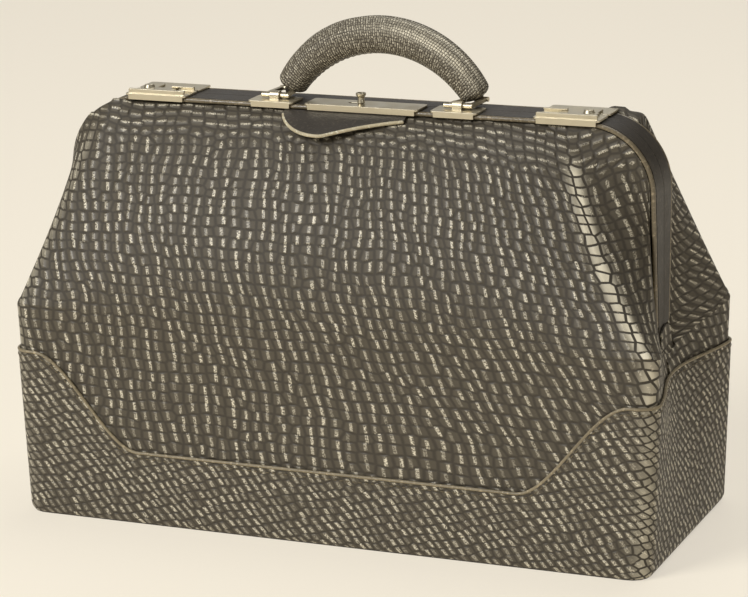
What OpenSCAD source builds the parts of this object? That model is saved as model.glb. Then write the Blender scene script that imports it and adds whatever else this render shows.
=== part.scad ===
// Travelling bag with a steel mouth frame in two jaws, a lock, two slide catches and a rolled handle.
// Millimetres. Z is up, X runs along the bag, the front faces minus Y.
// The origin is the middle of the resting face, on the ground.

/* [Body] */
// Length of the bag over its base panel
body_length = 463; // [450:1:520]
// Depth of the bag from front to back over its base panel
body_depth = 192; // [160:1:220]
// Height of the fold where the leather turns in toward the frame
fold_height = 152; // [146:1:170]
// Thickness of the lower leather wall
wall_t = 2.4; // [1.5:0.1:3.5]
// Radius of the four upright corners
corner_r = 13; // [8:1:22]
// How far each end is drawn in at its middle, at the fold
end_dip = 23; // [14:1:25]
// How far each end leans out at its corners, from the ground to the fold
end_flare = 7; // [0:0.5:9]
// How much the front and back lean in from the ground to the fold
side_draft = 2; // [0:0.5:5]

/* [Base] */
// Height of the base panel along the middle of the bag
band_low = 51; // [30:1:80]
// Height of the base panel at the corners and ends
band_high = 117; // [90:1:120]
// Distance from the middle where the base panel begins to rise
band_turn_start = 138; // [110:1:160]
// Distance from the middle where the base panel has risen
band_turn_end = 214; // [180:1:220]
// Thickness of the base panel leather
band_t = 1.8; // [1:0.1:3]
// Thickness of the welt along the edge of the base panel
base_welt_d = 2.4; // [1.6:0.1:4]
// Thickness of the bottom leather
bottom_t = 2.5; // [1.5:0.1:4]
// Thickness of the stiff board inside the bottom
board_t = 3; // [2:0.1:5]

/* [Frame] */
// How far each end of the closed frame stands inside the end of the bag
frame_inset = 18.5; // [17:0.5:30]
// Height of the top of the closed frame
frame_top = 290; // [270:1:310]
// Reach of each jaw from the parting line to its edge
jaw_reach = 20; // [18:0.5:26]
// Radius of the frame's upper corners
frame_corner_r = 48; // [40:1:60]
// Height of the hinge pins
pivot_height = 140; // [134:1:142]
// Width of each jaw leg at its lower end
leg_w = 11; // [9:0.5:13]
// Thickness of the frame steel
steel_t = 2; // [1.5:0.1:2.5]
// Depth of the two flanges of the frame channel
flange_depth = 13; // [10:0.5:16]
// Thickness of the leather cover of the frame
cover_t = 1.2; // [0.8:0.1:2]
// Thickness of the rolled edge of the frame cover
bead_d = 3.2; // [2.6:0.1:4]
// Space between the two closed jaws
parting = 0.6; // [0.4:0.1:1.2]
// Diameter of the hinge pins
pin_d = 6; // [4:0.5:8]
// Radius of the eyes around the hinge pins
eye_r = 8; // [7:0.5:9]
// Running clearance of pins in their bores, on the radius
pin_clear = 0.05; // [0.02:0.01:0.1]

/* [Upper leather] */
// Thickness of the upper leather
leather_t = 2; // [1.2:0.1:2.6]
// Way round the frame's corner to where a corner ridge leaves it
ridge_past = 24; // [10:1:32]
// How far the gusset beside each leg sinks in
gusset_sag = 5; // [0:0.5:9]
// The same way for the front right corner, which is pushed in
tuck_past = -9; // [-20:1:20]
// Bend of the ridge at the pushed-in corner, 1 is straight
tuck_bend = 1.55; // [1:0.05:2]
// How far the gusset of the pushed-in corner sinks in
tuck_sag = 13; // [4:0.5:15]
// How far the front and back swell out between frame and fold
swell = 9; // [3:0.5:12]
// How far the front and back turn upright at the fold, 1 is fully
fold_turn = 0.85; // [0:0.05:1]
// How far the corner ridges swell out
ridge_swell = 2; // [0:0.5:5]
// Thickness of the lining cloth
lining_t = 0.8; // [0.5:0.1:1.5]
// How far the lining hangs slack behind the upper leather
lining_slack = 2.5; // [1.5:0.1:5]

/* [Lock and catches] */
// Thickness of the metal plates
plate_t = 1.4; // [1:0.1:2]
// Radius of the plates' corners
plate_r = 2.5; // [1:0.1:4]
// How far lock plate and handle stand to the right of the middle
lock_shift = 4; // [0:0.5:6]
// Length of the lock plate
lock_length = 84; // [70:1:88]
// Diameter of the lock knob
knob_d = 7; // [5:0.5:9]
// Height of the lock knob above its plate
knob_h = 7; // [5:0.5:10]
// Travel of the lock knob
knob_travel = 7.5; // [4:0.5:10]
// Depth of the lock case below the frame's top
lock_case_h = 10; // [8:0.5:11]
// Thickness of the lock case's walls
lock_case_t = 1.2; // [0.8:0.1:1.6]
// Distance of each catch from the middle
catch_x = 151.5; // [148:0.5:156]
// Length of each catch
catch_length = 47; // [44:1:50]
// Travel of each catch slide
catch_travel = 10; // [6:0.5:12]

/* [Handle] */
// Distance of each handle plate from the middle of the lock plate
handle_plate_x = 67.5; // [64:0.5:72]
// Length of each handle plate
handle_plate_length = 34; // [30:1:36]
// Sideways rest of the handle in its loose rings
handle_shift = 6; // [0:0.5:6.5]
// Height of the top of the handle
handle_top = 350; // [340:1:370]
// Thickness of the handle at its middle
grip_mid_d = 26; // [20:0.5:30]
// Thickness of the handle at its ends
grip_end_d = 19; // [15:0.5:22]
// Thickness of the ring wire
ring_d = 3.4; // [2.6:0.1:4]
// Width of each ring along its hinge bar
ring_w = 16.5; // [16:0.5:22]
// Distance that the handle stands behind the hinge bars
handle_back = 17; // [14:0.5:20]

/* [Pull tab] */
// Width of the pull tab below the lock
tab_w = 90; // [70:1:100]
// How far the pull tab stands to the left of the middle
tab_shift = 7.5; // [0:0.5:12]
// Lean of the pull tab's deepest point to the left, as a share of its half width
tab_lean = 0.25; // [0:0.05:0.4]
// Depth of the pull tab
tab_depth = 27; // [15:0.5:32]
// Droop of the pull tab below level, in degrees
tab_droop = 28; // [15:1:40]
// Thickness of the pull tab
tab_t = 2.2; // [1.5:0.1:3]

/* [Hidden] */
$fn = 40;
skin_gap = 0.1;
body_gap = 0.3;
rim_gap = 0.3;
lining_gap = 0.9;
tub_lining_gap = 1.2;
foot_gap = 0.8;
lining_foot = 0.6;
lining_drop = 2.5;
board_inset = 1.5;
floor_inset = 2.5;
hx = body_length / 2 - band_t - body_gap;
hy = body_depth / 2 - band_t - body_gap;
hp = parting / 2;
xo = body_length / 2 - frame_inset;
xs = xo - cover_t;
xc = xo - frame_corner_r;
zc = frame_top - frame_corner_r;
web_w = jaw_reach - bead_d - 0.2;
edge_over = 0.2 + bead_d / 2;
seat = max(cover_t + steel_t, bead_d) + 0.8;
seat_over = 1.3;
leg_tuck = 5.4;
ridge_start = xc + ridge_past;
tuck_start = xc + tuck_past;
leg_end = pivot_height + eye_r + 1.5;
notch_z = pivot_height - eye_r - 2;
eye_in = xs - 2 * steel_t - body_gap;
shank_h = 12;
front_seg = 40;
end_seg = 12;
corner_seg = 4;
plate_z = frame_top + 0.2;
plate_top = plate_z + plate_t;
plate_front = jaw_reach + 0.3;
plate_lip = 4.4;
plate_back = hp + 0.5;
bar_y = -11;
bar_z = plate_top + 2.4;
ring_top_y = bar_y + handle_back;
ring_rise = 2;
ring_top_z = bar_z + ring_rise;
ring_arm = ring_d - 0.4;
ring_arm_t = ring_d - 1;
bar_past = 0.4;
loop_r = 4.2;
loop_w = 3.6;
loop_reach = 5.6;
grip_end_z = ring_top_z + 4.7;
grip_rise = handle_top - grip_mid_d / 2 - grip_end_z;
grip_half = handle_plate_x - 0.5;
grip_nose = 0.3;
grip_r = (grip_half * grip_half + grip_rise * grip_rise) / (2 * grip_rise);
grip_a = asin(grip_half / grip_r);
grip_cz = grip_end_z + grip_rise - grip_r;
ring_top_x = grip_half + loop_reach * cos(grip_a);
ring_half = 5.2;
staple_w = 7;
staple_t = 1.7;
handle_x = lock_shift + handle_shift;
knob_y = -10;
stem_d = 2.8;
slot_w = stem_d + 0.6;
bolt_l = 14;
strike_l = 32;
slide_z = plate_top + 0.3;
slide_t = 1.3;
slide_back = 9;
slide_l = 27;
tongue_x = 11.5;
tongue_r = 5;
rail_h = 3;
rail_w = 1.6;
rail_reach = 2.8;
rail_lip = 1.1;
rail_clear = 1.1;
rail_edge = 0.6;
loop_clear = 0.2;

function ease(a) = let(t = max(0, min(1, a))) t * t * (3 - 2 * t);
function unit(v) = v / max(norm(v), 0.000001);
function mix(a, b, t) = a + (b - a) * t;

// Plan of the lower body: x, y and outward direction, anticlockwise from the front left
function arc_pts(cx, cy, a0) = [for (i = [0:corner_seg - 1]) let(a = a0 + 90 * i / corner_seg)
    [cx + corner_r * cos(a), cy + corner_r * sin(a), cos(a), sin(a)]];
function plan() = let(fx = hx - corner_r, fy = hy - corner_r) concat(
    [for (i = [0:front_seg - 1]) [fx * sin(90 * (2 * i / front_seg - 1)), -hy, 0, -1]],
    arc_pts(fx, -fy, -90),
    [for (i = [0:end_seg - 1]) [hx, mix(-fy, fy, i / end_seg), 1, 0]],
    arc_pts(fx, fy, 0),
    [for (i = [0:front_seg - 1]) [-fx * sin(90 * (2 * i / front_seg - 1)), hy, 0, 1]],
    arc_pts(-fx, fy, 90),
    [for (i = [0:end_seg - 1]) [-hx, mix(fy, -fy, i / end_seg), -1, 0]],
    arc_pts(-fx, -fy, 180));
function rim(y) = notch_z + (fold_height - notch_z) * min(1, abs(y) / hy);
function dip(y, z) = end_dip * pow(max(0, z) / fold_height, 1.5) * pow(cos(90 * min(1, abs(y) / hy)), 2);
function draft(y, z) = y * (1 - side_draft / hy * max(0, z) / fold_height);
function flare(z) = 1 + end_flare / hx * max(0, z) / fold_height;
function wall_pt(p, z, off) =
    [p[0] * flare(z) - sign(p[0]) * dip(p[1], z) + p[2] * off, draft(p[1], z) + p[3] * off, z];
function band_rise(p) = ease((abs(p[0]) - band_turn_start) / (band_turn_end - band_turn_start));
function band_top(p) = mix(band_low, band_high, band_rise(p));

// Edge of the upper leather under the frame welt, at a way s from the middle
function leg_edge(z) = z >= zc ? web_w : mix(leg_w, web_w, max(0, z - leg_end) / (zc - leg_end));
function seat_pt(s) = let(r = frame_corner_r - seat, a = (s - xc) / r * 180 / PI,
    z = zc - (s - xc - r * PI / 2))
    s <= xc ? [s, -web_w - seat_over, frame_top - seat]
    : a <= 90 ? [xc + r * sin(a), -web_w - seat_over, zc + r * cos(a)]
    : [xo - seat - leg_tuck * pow((zc - z) / (zc - leg_end), 2), -leg_edge(z) - seat_over, z];
seat_way = xc + (frame_corner_r - seat) * PI / 2 + zc - leg_end;

// Edge of the upper leather at the fold, u from 0 at the middle to 1 at the corner and 2 below the leg
function fold_curve(u) = let(k = corner_r * (1 - sqrt(0.5)), x = u * (hx - k),
    q = max(0, x - (hx - corner_r)), g = u - 1, y = mix(hy - k, leg_w + seat_over, g))
    u <= 1 ? [x * flare(fold_height),
        -draft(hy - corner_r + sqrt(corner_r * corner_r - q * q), fold_height), fold_height]
    : [(hx - max(0, k - g * 12 * k)) * flare(rim(y)) - dip(y, rim(y)), -draft(y, rim(y)), rim(y)];

// Upper leather: t runs from frame to fold; the corner is given by its ridge start, bend and sag
function upper_pt(u, t, k) = let(g = max(0, u - 1), s = u <= 1 ? u * k[0] : mix(k[0], seat_way, g),
    a = seat_pt(s), b = fold_curve(u), slope = unit([0, -(frame_top - fold_height), hy - web_w]),
    side = [0.45, -0.89, 0], w = ease(g * 6), bend = (1 - g) * (1 - g) * (t - pow(t, k[1])),
    amount = u <= 1 ? mix(swell, ridge_swell, pow(u, 4))
    : ridge_swell * pow(1 - g, 6) - k[2] * 6.75 * g * (1 - g) * (1 - g),
    turn = fold_turn * (hy - web_w + 4 * swell * slope[1]) * max(0, 1 - pow(u, 4)) * t * t * (1 - t))
    a + (b - a) * t - [(b[0] - a[0]) * bend, turn, 0] + unit(mix(slope, side, w)) * amount * 4 * t * (1 - t);
function mirror_x(p, flip) = flip ? [-p[0], p[1], p[2]] : p;
function upper_at(v, t, k) = mirror_x(upper_pt(abs(v), t, v < 0 ? k[0] : k[1]), v < 0);
function upper_dir(v, t, k) = let(e = 0.004)
    unit(cross(upper_at(min(2, v + e), t, k) - upper_at(max(-2, v - e), t, k),
    upper_at(v, max(0, t - e), k) - upper_at(v, min(1, t + e), k)));
// Grid of the upper leather at a depth off behind its face, level at the fold and slack above it
function upper_grid(cols, rows, t0, off, slack, k) = [for (c = [-cols:cols]) let(v = 2 * c / cols)
    [for (r = [0:rows]) let(a = r / rows, t = mix(1, t0, a), d = upper_dir(v, t, k))
        upper_at(v, t, k) - (r == 0 ? unit([d[0], d[1], 0]) : d) * (off + slack * a * (4.3 - 4 * a))
        + [0, 0, r == 0 ? rim_gap : 0]]];
full_corner = [ridge_start, 1, gusset_sag];
tuck_corner = [tuck_start, tuck_bend, tuck_sag];
front_corners = [full_corner, tuck_corner];
rear_corners = [full_corner, full_corner];

// Closed skin between an outer and an inner grid of points, columns left to right, rows upward
module skin(outer, inner, closed) {
    nc = len(outer);
    nr = len(outer[0]);
    k = nc * nr;
    last = closed ? nc - 1 : nc - 2;
    pts = concat([for (c = outer) for (p = c) p], [for (c = inner) for (p = c) p]);
    sides = [for (c = [0:last]) for (r = [0:nr - 2])
        let(d = (c + 1) % nc, a = c * nr + r, b = d * nr + r)
        each [[a, a + 1, b + 1], [a, b + 1, b], [k + a, k + b + 1, k + a + 1], [k + a, k + b, k + b + 1]]];
    ends = [for (c = [0:last]) let(d = (c + 1) % nc, a = c * nr, b = d * nr, e = a + nr - 1, f = b + nr - 1)
        each [[a, b, k + b], [a, k + b, k + a], [f, e, k + e], [f, k + e, k + f]]];
    caps = closed ? [] : [for (r = [0:nr - 2]) let(b = (nc - 1) * nr + r)
        each [[r + 1, r, k + r], [r + 1, k + r, k + r + 1], [b, b + 1, k + b + 1], [b, k + b + 1, k + b]]];
    polyhedron(points = pts, faces = concat(sides, ends, caps));
}

// Tube through rings of points
module tube(rings, closed) {
    n = len(rings);
    m = len(rings[0]);
    last = closed ? n - 1 : n - 2;
    sides = [for (i = [0:last]) for (j = [0:m - 1])
        let(k = (j + 1) % m, e = (i + 1) % n, a = i * m + j, b = i * m + k, c = e * m + k, d = e * m + j)
        each [[a, d, c], [a, c, b]]];
    caps = closed ? [] : [[for (j = [0:m - 1]) j], [for (j = [0:m - 1]) n * m - 1 - j]];
    polyhedron(points = [for (r = rings) for (p = r) p], faces = concat(sides, caps));
}

module round_plan(l, w, r) {
    square([l - 2 * r, w], center = true);
    square([l, w - 2 * r], center = true);
    for (sx = [-1, 1]) {
        for (sy = [-1, 1]) {
            translate([sx * (l / 2 - r), sy * (w / 2 - r)]) circle(r);
        }
    }
}

// A section drawn outward from the parting line and inward from the cover, swept along one jaw
module along_jaw(low) {
    rotate([90, 0, 90]) linear_extrude(2 * xc, center = true)
        translate([0, frame_top]) rotate(180) children(0);
    for (s = [0, 1]) {
        mirror([s, 0, 0]) translate([xc, 0, zc]) rotate([90, 0, 0]) rotate_extrude(angle = 90)
            translate([frame_corner_r, 0]) rotate(90) children(0);
        mirror([s, 0, 0]) translate([0, 0, low]) linear_extrude(zc - low)
            translate([xo, 0]) mirror([0, 1]) rotate(90) children(1);
    }
}

// What is cut away outside the tapering edge of the legs
module leg_taper(over) {
    rotate([90, 0, 90]) linear_extrude(2 * xo + 20, center = true) polygon([
        [-web_w - over, zc], [-leg_w - over, leg_end], [-leg_w - over, leg_end - 40],
        [-web_w - over - 30, leg_end - 40], [-web_w - over - 30, zc]]);
}

module web_section() {
    translate([hp, cover_t]) square([web_w - hp, steel_t]);
    translate([hp, cover_t]) square([steel_t, flange_depth]);
}

module channel_section() {
    web_section();
    translate([web_w - steel_t - 1, cover_t]) square([steel_t, flange_depth]);
}

module cover_section() {
    translate([hp, 0]) square([web_w + 0.1 - hp, cover_t]);
}

module welt_section() {
    translate([web_w + edge_over, bead_d / 2]) circle(d = bead_d);
}

module knob_slot(low, high, extra) {
    w = slot_w + extra;
    translate([0, knob_y, low]) linear_extrude(high - low) {
        circle(d = w);
        translate([-knob_travel, 0]) circle(d = w);
        translate([-knob_travel, -w / 2]) square([knob_travel, w]);
    }
}

module lower_body() color("#2e2620") {
    p = plan();
    low = bottom_t + skin_gap;
    skin([for (q = p) [for (r = [0:6]) wall_pt(q, mix(low, rim(q[1]), r / 6), 0)]],
        [for (q = p) [for (r = [0:6]) wall_pt(q, mix(low, rim(q[1]), r / 6), -wall_t)]], true);
}

module lower_lining() color("#6b4a33") {
    p = plan();
    q = [for (i = [0:2:len(p) - 1]) p[i]];
    low = bottom_t + board_t + lining_t + lining_foot;
    face = -wall_t - tub_lining_gap;
    skin([for (s = q) [for (r = [0:3]) wall_pt(s, mix(low, rim(s[1]) - lining_drop, r / 3), face)]],
        [for (s = q) [for (r = [0:3]) wall_pt(s, mix(low, rim(s[1]) - lining_drop, r / 3), face - lining_t)]],
        true);
}

module bottom_panel() color("#2a231e") {
    linear_extrude(bottom_t) round_plan(2 * (hx - body_gap), 2 * (hy - body_gap), corner_r);
}

module bottom_board() color("#8a6a48") {
    inset = wall_t + board_inset;
    translate([0, 0, bottom_t + skin_gap]) linear_extrude(board_t)
        round_plan(2 * (hx - inset), 2 * (hy - inset), corner_r - wall_t);
}

module floor_lining() color("#6b4a33") {
    inset = wall_t + floor_inset;
    translate([0, 0, bottom_t + board_t + 2 * skin_gap]) linear_extrude(lining_t)
        round_plan(2 * (hx - inset), 2 * (hy - inset), corner_r - wall_t);
}

module base_band() color("#2f2822") {
    p = plan();
    skin([for (q = p) [for (r = [0:4]) wall_pt(q, mix(foot_gap, band_top(q), r / 4), body_gap + band_t)]],
        [for (q = p) [for (r = [0:4]) wall_pt(q, mix(foot_gap, band_top(q), r / 4), body_gap)]], true);
}

module base_welt() color("#7d7058") {
    p = plan();
    n = len(p);
    r = base_welt_d / 2;
    line = [for (q = p) wall_pt(q, band_top(q), body_gap + r)];
    tube([for (i = [0:n - 1]) let(along = unit(line[(i + 1) % n] - line[(i + n - 1) % n]),
        out = [p[i][2], p[i][3], 0], up = unit(cross(out, along)))
        [for (j = [0:5]) line[i] + up * (r + skin_gap) + r * (cos(60 * j) * out - sin(60 * j) * up)]], true);
}

module front_body_panel() color("#2e2620") {
    k = front_corners;
    skin(upper_grid(20, 9, 0, 0, 0, k), upper_grid(20, 9, 0, leather_t, 0, k), false);
}

module rear_body_panel() color("#2e2620") {
    k = rear_corners;
    mirror([0, 1, 0]) skin(upper_grid(20, 9, 0, 0, 0, k), upper_grid(20, 9, 0, leather_t, 0, k), false);
}

module upper_lining(k) {
    far = leather_t + lining_gap;
    slack = lining_slack;
    skin(upper_grid(14, 5, 0.19, far, slack, k), upper_grid(14, 5, 0.19, far + lining_t, slack, k), false);
}

module front_lining() color("#6b4a33") {
    upper_lining(front_corners);
}

module rear_lining() color("#6b4a33") {
    mirror([0, 1, 0]) upper_lining(rear_corners);
}

module hinge_pin() {
    long = xs - 0.2 - (eye_in - 0.2);
    translate([eye_in - 0.2, 0, pivot_height]) rotate([0, 90, 0]) cylinder(d = pin_d, h = long);
    translate([eye_in - 1.7, 0, pivot_height]) rotate([0, 90, 0]) cylinder(r = eye_r - 3, h = 1.5);
}

module left_hinge_pin() color("#c9c2b0") {
    mirror([1, 0, 0]) hinge_pin();
}

module right_hinge_pin() color("#c9c2b0") {
    hinge_pin();
}

module eye_plan() {
    difference() {
        union() {
            circle(eye_r);
            translate([-leg_w, 0]) square([leg_w - hp, eye_r + 1.5 + shank_h]);
        }
        circle(d = pin_d + 2 * pin_clear);
    }
}

module eye(x) {
    translate([x, 0, pivot_height]) rotate([90, 0, 90]) linear_extrude(steel_t) eye_plan();
}

module front_frame() color("#5a544a") {
    difference() {
        union() {
            along_jaw(leg_end) {
                channel_section();
                web_section();
            }
            for (s = [0, 1]) {
                mirror([s, 0, 0]) eye(xs - steel_t);
            }
        }
        leg_taper(0);
        knob_slot(frame_top - 8, frame_top, 0.4);
    }
}

module rear_frame() color("#5a544a") {
    mirror([0, 1, 0]) difference() {
        union() {
            along_jaw(leg_end) {
                channel_section();
                web_section();
            }
            for (s = [0, 1]) {
                mirror([s, 0, 0]) eye(eye_in);
                mirror([s, 0, 0]) translate([eye_in, -leg_w, leg_end])
                    cube([2 * steel_t + body_gap, leg_w - hp, shank_h]);
            }
        }
        leg_taper(0);
    }
}

module jaw_cover() {
    difference() {
        along_jaw(leg_end) {
            cover_section();
            cover_section();
        }
        leg_taper(0.1);
    }
}

// Rolled edge of one jaw: along the top, round the corners and down the tapering legs
module jaw_welt() {
    top = [xo - bead_d / 2, -web_w - edge_over, zc];
    low = [xo - bead_d / 2, -leg_w - edge_over, leg_end];
    d = low - top;
    rotate([90, 0, 90]) linear_extrude(2 * xc, center = true)
        translate([0, frame_top]) rotate(180) welt_section();
    for (s = [0, 1]) {
        mirror([s, 0, 0]) {
            translate([xc, 0, zc]) rotate([90, 0, 0]) rotate_extrude(angle = 90)
                translate([frame_corner_r, 0]) rotate(90) welt_section();
            translate(top) sphere(d = bead_d + 0.5);
            translate(top) rotate([atan2(d[1], -d[2]), 0, 0]) translate([0, 0, -norm(d)])
                cylinder(d = bead_d, h = norm(d) - 0.8);
            translate(low) sphere(d = bead_d + 0.5);
        }
    }
}

module front_frame_cover() color("#352c25") {
    difference() {
        union() {
            jaw_cover();
            for (s = [0, 1]) {
                mirror([s, 0, 0]) translate([xs, 0, pivot_height]) rotate([90, 0, 90])
                    linear_extrude(cover_t) {
                        circle(eye_r);
                        translate([-leg_w, 0]) square([leg_w - hp, eye_r + 3]);
                    }
            }
        }
        knob_slot(frame_top - 8, frame_top + 1, 0.4);
    }
}

module front_frame_welt() color("#7d7058") {
    jaw_welt();
}

module rear_frame_welt() color("#7d7058") {
    mirror([0, 1, 0]) jaw_welt();
}

module rear_frame_cover() color("#352c25") {
    mirror([0, 1, 0]) jaw_cover();
}

// Flat plate on one jaw with its edge bent down over the leather
module top_plate(x, long) {
    translate([x, -(plate_front + plate_t + plate_back) / 2, plate_z])
        linear_extrude(plate_t) round_plan(long, plate_front + plate_t - plate_back, plate_r);
    translate([x - long / 2 + plate_r, -plate_front - plate_t, plate_top - plate_lip])
        cube([long - 2 * plate_r, plate_t, plate_lip - 0.2]);
}

module lock_plate() color("#d8d0bc") {
    difference() {
        top_plate(lock_shift, lock_length);
        knob_slot(plate_z - 1, plate_top + 1, 0);
    }
}

module lock_case() color("#8d8676") {
    top = frame_top - cover_t - steel_t;
    far = web_w - steel_t - 1 - body_gap;
    near = hp + steel_t + body_gap;
    long = lock_length * 0.76;
    wide = far - near;
    w = lock_case_t;
    difference() {
        translate([lock_shift - long / 2, -far, top - lock_case_h]) cube([long, wide, lock_case_h]);
        translate([lock_shift - long / 2 + w, -far + w, top - lock_case_h + w])
            cube([long - 2 * w, wide - 2 * w, lock_case_h - 2 * w]);
        knob_slot(top - 2, top + 1, 0.4);
    }
}

module lock_knob() color("#d8d0bc") {
    low = frame_top - cover_t - steel_t - 5;
    r = knob_d / 2;
    translate([0, knob_y, low]) cylinder(d = stem_d, h = plate_top + 0.5 - low);
    translate([-bolt_l / 2, knob_y - 1.8, low - 1.5]) cube([bolt_l, 5.4, 1.6]);
    translate([0, knob_y, plate_top + 0.3]) rotate_extrude() polygon([
        [0, 0], [r * 0.75, 0], [r * 0.6, knob_h * 0.5], [r, knob_h * 0.8],
        [r, knob_h], [r * 0.75, knob_h], [r * 0.5, knob_h * 0.85], [0, knob_h * 0.8]]);
}

module lock_strike() color("#8d8676") {
    translate([-strike_l / 2, hp + steel_t + 0.05, frame_top - cover_t - steel_t - 9.5])
        cube([strike_l, 1.2, 9]);
}

module catch_plate() {
    x0 = catch_x - catch_length / 2;
    top_plate(catch_x, catch_length);
    start = x0 + 2;
    short = catch_x + tongue_x - tongue_r - catch_travel - rail_clear - start;
    lip_z = plate_top + rail_h - rail_lip;
    translate([start, -plate_front + rail_edge, plate_top]) cube([catch_length - 4, rail_w, rail_h]);
    translate([start, -plate_front + rail_edge, lip_z]) cube([catch_length - 4, rail_reach, rail_lip]);
    translate([start, -plate_back - rail_edge - rail_w, plate_top]) cube([short, rail_w, rail_h]);
    translate([start, -plate_back - rail_edge - rail_reach, lip_z]) cube([short, rail_reach, rail_lip]);
}

module left_catch_plate() color("#d8d0bc") {
    mirror([1, 0, 0]) catch_plate();
}

module right_catch_plate() color("#d8d0bc") {
    catch_plate();
}

module catch_slide() {
    far = plate_front - 2.5;
    near = plate_back + 2.5;
    tip = jaw_reach * 0.62;
    translate([catch_x - slide_back, -far, slide_z]) cube([slide_l, far - near, slide_t]);
    translate([catch_x + tongue_x - tongue_r, -near - 0.1, slide_z])
        cube([2 * tongue_r, near + 0.1 + tip - tongue_r, slide_t]);
    translate([catch_x + tongue_x, tip - tongue_r, slide_z]) cylinder(r = tongue_r, h = slide_t);
    translate([catch_x + tongue_x, -6.5, slide_z + slide_t - 0.1]) cylinder(r1 = 4, r2 = 3.2, h = 2.6);
}

module left_catch_slide() color("#d8d0bc") {
    mirror([1, 0, 0]) catch_slide();
}

module right_catch_slide() color("#d8d0bc") {
    catch_slide();
}

module left_catch_keeper() color("#cfc6b0") {
    mirror([0, 1, 0]) top_plate(-catch_x, catch_length);
}

module right_catch_keeper() color("#cfc6b0") {
    mirror([0, 1, 0]) top_plate(catch_x, catch_length);
}

// Plate with a staple that the hinge bar of a handle ring turns in
module handle_plate(x) {
    difference() {
        union() {
            top_plate(x, handle_plate_length);
            translate([x - staple_w / 2, bar_y, bar_z]) rotate([0, 90, 0])
                cylinder(r = ring_d / 2 + staple_t, h = staple_w);
            translate([x - staple_w / 2, bar_y - ring_d / 2 - staple_t, plate_top - 0.2])
                cube([staple_w, ring_d + 2 * staple_t, bar_z - plate_top + 0.2]);
        }
        translate([x - staple_w, bar_y, bar_z]) rotate([0, 90, 0])
            cylinder(d = ring_d + 2 * pin_clear, h = 2 * staple_w);
    }
}

module left_handle_plate() color("#d8d0bc") {
    handle_plate(lock_shift - handle_plate_x);
}

module right_handle_plate() color("#d8d0bc") {
    handle_plate(lock_shift + handle_plate_x);
}

// Four-sided ring: a round hinge bar, two flat leaning arms and a short round bar in the handle's loop
module handle_ring(side) {
    x = lock_shift + side * handle_plate_x;
    top = handle_x + side * ring_top_x;
    w = ring_arm / 2;
    ends = ring_arm + 2 * bar_past;
    long = norm([handle_back, ring_rise]);
    translate([x, bar_y, bar_z]) rotate([0, 90, 0]) cylinder(d = ring_d, h = ring_w + ends, center = true);
    translate([top, ring_top_y, ring_top_z]) rotate([0, 90, 0])
        cylinder(d = ring_d, h = 2 * ring_half + ends, center = true);
    translate([x, bar_y, bar_z]) rotate([atan2(ring_rise, handle_back), 0, 0])
        linear_extrude(ring_arm_t, center = true) {
            for (s = [-1, 1]) {
                polygon([[s * ring_w / 2 - w, 0], [s * ring_w / 2 + w, 0],
                    [top - x + s * ring_half + w, long], [top - x + s * ring_half - w, long]]);
            }
        }
}

module left_handle_ring() color("#d8d0bc") {
    handle_ring(-1);
}

module right_handle_ring() color("#d8d0bc") {
    handle_ring(1);
}

module handle_loop(side) {
    top = handle_x + side * ring_top_x;
    difference() {
        translate([top - loop_w / 2, ring_top_y, ring_top_z]) rotate([0, 90, 0])
            cylinder(r = loop_r, h = loop_w);
        translate([top - 4, ring_top_y, ring_top_z]) rotate([0, 90, 0])
            cylinder(d = ring_d + 2 * loop_clear, h = 8);
    }
}

module left_handle_loop() color("#352c25") {
    handle_loop(-1);
}

module right_handle_loop() color("#352c25") {
    handle_loop(1);
}

module handle_grip() color("#352c25") {
    tube([for (i = [0:24]) let(p = i / 12 - 1, a = grip_a * p,
        d = mix(grip_end_d, grip_mid_d, pow(cos(85 * p), 0.7)) * (1 - grip_nose * pow(abs(p), 10)),
        out = [sin(a), 0, cos(a)])
        [for (j = [0:17]) [handle_x, ring_top_y, grip_cz] + out * grip_r
            + d / 2 * (cos(20 * j) * out - sin(20 * j) * [0, 1, 0])]], false);
}

// Half-round leather lip below the lock, swelling a little and turned up at its edge
module pull_tab() color("#3a3028") {
    n = 18;
    dir = [0, -cos(tab_droop), -sin(tab_droop)];
    up = [0, -sin(tab_droop), cos(tab_droop)];
    root = [-tab_shift, -plate_front - 0.2, plate_top - plate_lip - 0.2 - tab_t / 2];
    pts = [for (c = [0:n]) let(x = tab_w / 2 * sin(90 * (2 * c / n - 1)), i = 2 * x / tab_w,
        k = i + tab_lean * (1 - i * i), long = 3 + (tab_depth - 3) * pow(max(0, 1 - k * k), 0.8))
        [for (r = [0:5]) let(t = 1 - r / 5) root + [x, 0, 0] + dir * long * t
            + up * (1.2 * sin(180 * t) + 1.6 * t * t * t) * (1 - k * k)]];
    skin([for (c = pts) [for (p = c) p + up * tab_t / 2]],
        [for (c = pts) [for (p = c) p - up * tab_t / 2]], false);
}

bottom_panel();
bottom_board();
floor_lining();
lower_body();
lower_lining();
base_band();
base_welt();
front_body_panel();
rear_body_panel();
front_lining();
rear_lining();
left_hinge_pin();
right_hinge_pin();
front_frame();
front_frame_cover();
front_frame_welt();
rear_frame();
rear_frame_cover();
rear_frame_welt();
lock_plate();
lock_case();
lock_knob();
lock_strike();
left_catch_plate();
right_catch_plate();
left_catch_slide();
right_catch_slide();
left_catch_keeper();
right_catch_keeper();
left_handle_plate();
right_handle_plate();
left_handle_ring();
right_handle_ring();
left_handle_loop();
right_handle_loop();
handle_grip();
pull_tab();
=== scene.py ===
"""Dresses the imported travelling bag: embossed leather, linings, handle, plated hardware and the stage."""
import math
from functools import partial

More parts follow.
